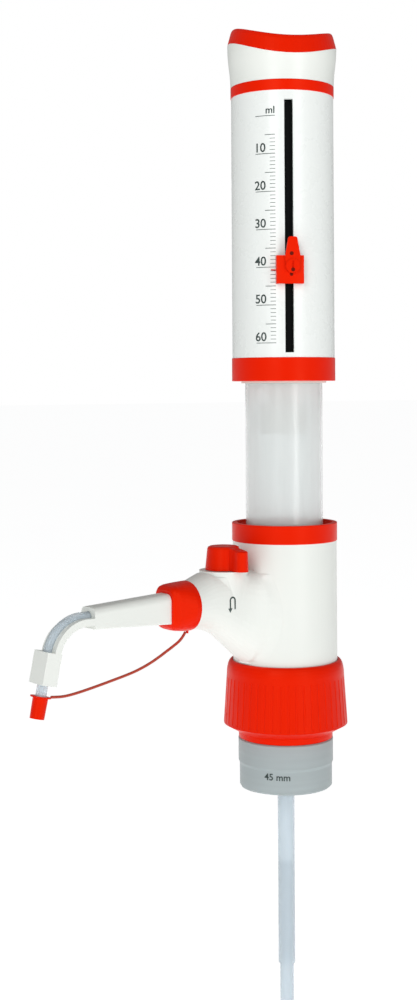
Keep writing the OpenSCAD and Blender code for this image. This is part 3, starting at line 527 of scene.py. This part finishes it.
# The housing's front in even cells, cut down to the stretch round the arm's root
fillet = loose_copy(node["housing_front"])
open_mesh()
bpy.ops.mesh.remove_doubles(threshold=1e-5)
close_mesh()
even = fillet.modifiers.new("even", "REMESH")
even.mode = "VOXEL"
even.voxel_size = CELL * MM
apply_all(fillet)
open_mesh()
cut_away((0, 0, FILLET_FOOT), (0, 0, -1))
cut_away((0, 0, FILLET_TOP), (0, 0, 1))
cut_away((FILLET_INNER, 0, 0), (1, 0, 0))
cut_away((FILLET_OUTER, 0, 0), (-1, 0, 0))
bpy.ops.mesh.separate(type="LOOSE")
close_mesh()
shells = sorted(bpy.context.selected_objects, key=lambda shell: len(shell.data.vertices))
fillet = shells[-1]
take(*shells[:-1])
bpy.ops.object.delete()

# Smoothed in plan, with its edge held everywhere but at the foot
take(fillet)
open_mesh()
bpy.ops.mesh.select_mode(type="VERT")
bpy.ops.mesh.select_all(action="DESELECT")
bpy.ops.mesh.select_non_manifold()
pick(fillet, lambda corner: corner.select and corner.co.z > (FILLET_FOOT + PINNED_ABOVE) * MM)
bpy.ops.mesh.select_all(action="INVERT")
bpy.ops.mesh.vertices_smooth(factor=0.5, repeat=SMOOTH_ROUNDS, zaxis=False)

# The foot is drawn straight down to the arm's underside, and the whole gets a wall
bpy.ops.mesh.select_all(action="DESELECT")
pick(fillet, lambda corner: corner.co.z < (FILLET_FOOT + FOOT_BAND) * MM)
bpy.ops.mesh.select_mode(type="EDGE")
bpy.ops.mesh.extrude_edges_move(TRANSFORM_OT_translate={"value": (0, 0, -FOOT_DROP * MM)})
bpy.ops.mesh.select_all(action="SELECT")
bpy.ops.mesh.normals_make_consistent(inside=False)
close_mesh()
wall = fillet.modifiers.new("wall", "SOLIDIFY")
wall.thickness = FILLET_WALL * MM
wall.offset = FILLET_SET_IN
apply_all(fillet)
finished(fillet, "arm_fillet", "valve_block", white, 60)

# ---- thread in the adapter ----
# A round ridge that stands out of the bore by most of its own radius
THREAD_R, THREAD_PITCH, THREAD_FOOT, THREAD_TURNS = 22.65, 4.0, -19.5, 4
RIDGE_R, RIDGE_OUT = 0.9, 0.25
let_go()
bpy.ops.mesh.primitive_circle_add(vertices=6, radius=RIDGE_R * MM, fill_type="NOTHING",
                                  rotation=(math.radians(90), 0, 0),
                                  location=((THREAD_R + RIDGE_OUT) * MM, 0, THREAD_FOOT * MM))
ridge = settle(bpy.context.object)
turns = ridge.modifiers.new("turns", "SCREW")
turns.angle = math.radians(360)
turns.screw_offset = THREAD_PITCH * MM
turns.iterations = THREAD_TURNS
turns.steps = turns.render_steps = 64
turns.use_normal_calculate = True
apply_all(ridge)
open_mesh()
bpy.ops.mesh.fill_holes(sides=12)
bpy.ops.mesh.normals_make_consistent(inside=False)
close_mesh()
finished(ridge, "adapter_thread", "valve_block", adapter_grey, 40)

# ---- painted shade of small holes in lever and block: dark discs laid on, no holes are cut ----
LOCK_Z = 253.73
CLEAR_R = 40
HOLE_LIFT, HOLE_THICK = 0.02, 0.04
# What a hole is in, how far it is right of the slot and above the lever's pin, and its radius
HOLES = (("lock_lever", 0.5, 6.4, 1.0), ("lock_lever", 1.1, -1.9, 1.0),
         ("pointer_block", 0.5, -4.1, 0.9))
holes = []
for owner, right, up, radius in HOLES:
    hole = flat_round(radius, 24)
    put(hole, on_wall(SLOT_TURN, LOCK_Z + up, CLEAR_R, 0) @ Matrix.Translation((right * MM, 0, 0)))
    holes.append(laid_on(hole, node[owner], HOLE_LIFT, HOLE_THICK))
finished(join(holes[:2], "lever_hole_shades"), "lever_hole_shades", "pointer_lock", painted_hole_shade, 0)
finished(holes[2], "block_hole_shade", "volume_pointer", painted_hole_shade, 0)

# ---- recirculation arrow on the housing ----
ARROW_X, ARROW_Y, ARROW_Z = -44.7, -40.0, 84.5
ARROW_W, ARROW_R, ARROW_LEG = 0.8, 1.9, 4.6
HEAD_R, LEG_IN_HEAD, HEAD_DROP = 1.5, 0.6, 0.1
arch = flat_round(ARROW_R, 48)
open_mesh()
bpy.ops.mesh.inset(thickness=ARROW_W * MM)
bpy.ops.mesh.delete(type="FACE")
bpy.ops.mesh.select_all(action="SELECT")
bpy.ops.mesh.bisect(plane_co=(0, 0, 0), plane_no=(0, 1, 0), clear_inner=True)
close_mesh()
leg_x = ARROW_R - ARROW_W / 2
legs = []
for side_x, length in ((-leg_x, ARROW_LEG - LEG_IN_HEAD), (leg_x, ARROW_LEG)):
    let_go()
    bpy.ops.mesh.primitive_grid_add(x_subdivisions=2, y_subdivisions=8, size=1)
    leg = bpy.context.object
    leg.scale = (ARROW_W * MM, length * MM, 1)
    leg.location = (side_x * MM, -length / 2 * MM, 0)
    legs.append(settle(leg))
head = flat_round(HEAD_R, 3)
head.rotation_euler = (0, 0, math.pi)
head.location = (-leg_x * MM, -(ARROW_LEG + HEAD_DROP) * MM, 0)
settle(head)
arrow = join([arch, *legs, head], "recirculation_arrow")
put(arrow, Matrix.Translation((ARROW_X * MM, ARROW_Y * MM, ARROW_Z * MM))
    @ Matrix.Rotation(math.radians(90), 4, "X"))
# It lies partly on the housing and partly on the fillet, so both are copied as one thing under it
under = join([loose_copy(node["housing_front"]), loose_copy(fillet)], "under_arrow")
laid_on(arrow, under)
take(under)
bpy.ops.object.delete()
finished(arrow, "recirculation_arrow", "valve_block", print_ink, 0)

# ---- studio ----
FLOOR_SIZE, FLOOR_Z, FLOOR_GLOW = 60, -0.206, 0.72
FLOOR_CLOUD, FLOOR_SHEEN = 0.4, 0.05
SKY_LIGHT, BACKDROP = 0.28, 1.0
PLAIN_WHITE = (1, 1, 1, 1)
AIM = (0, 0, 0.15)

let_go()
bpy.ops.mesh.primitive_plane_add(size=FLOOR_SIZE, location=(0, 0, FLOOR_Z))
floor = bpy.context.object
floor.name = "floor"
open_mesh()
bpy.ops.mesh.subdivide(number_cuts=8)
close_mesh()
pale = Finish("pale_floor", Specular_IOR_Level=0.0, Emission_Color=PLAIN_WHITE,
              Emission_Strength=FLOOR_GLOW)
pale.colour(pale.blend(pale.noise(FLOOR_CLOUD, 2), (0.93, 0.935, 0.94), (0.91, 0.915, 0.92)))
pale.roughness(pale.noise(FLOOR_SHEEN) * 0.1 + 0.8)
floor.data.materials.append(pale.material)

# The camera and rays through clear pieces see a white backdrop, and all other rays a dimmer sky
world = bpy.data.worlds.new("studio")
bpy.context.scene.world = world
world.use_nodes = True
sky = world.node_tree
dim = sky.nodes["Background"]
dim.inputs["Color"].default_value = PLAIN_WHITE
dim.inputs["Strength"].default_value = SKY_LIGHT
backdrop = sky.nodes.new("ShaderNodeBackground")
backdrop.inputs["Color"].default_value = PLAIN_WHITE
backdrop.inputs["Strength"].default_value = BACKDROP
seen = sky.nodes.new("ShaderNodeLightPath")
either = sky.nodes.new("ShaderNodeMath")
either.operation = "ADD"
either.use_clamp = True
choice = sky.nodes.new("ShaderNodeMixShader")
sky.links.new(seen.outputs["Is Camera Ray"], either.inputs[0])
sky.links.new(seen.outputs["Is Transmission Ray"], either.inputs[1])
sky.links.new(either.outputs[0], choice.inputs[0])
sky.links.new(dim.outputs[0], choice.inputs[1])
sky.links.new(backdrop.outputs[0], choice.inputs[2])
sky.links.new(choice.outputs[0], sky.nodes["World Output"].inputs["Surface"])


def softbox(name, at, size, power):
    """A rectangular lamp that points at the middle of the object."""
    let_go()
    bpy.ops.object.light_add(type="AREA", location=at)
    lamp = bpy.context.object
    lamp.name = name
    lamp.data.shape = "RECTANGLE"
    lamp.data.size, lamp.data.size_y = size
    lamp.data.energy = power
    lamp.rotation_mode = "QUATERNION"
    lamp.rotation_quaternion = (Vector(at) - Vector(AIM)).to_track_quat("Z", "Y")


softbox("key", (-1.33, -0.8, 0.75), (0.45, 1.1), 8.4)
softbox("front", (-0.1, -1.5, 0.5), (0.4, 1.1), 5.4)
bpy.context.scene.view_settings.view_transform = "Standard"
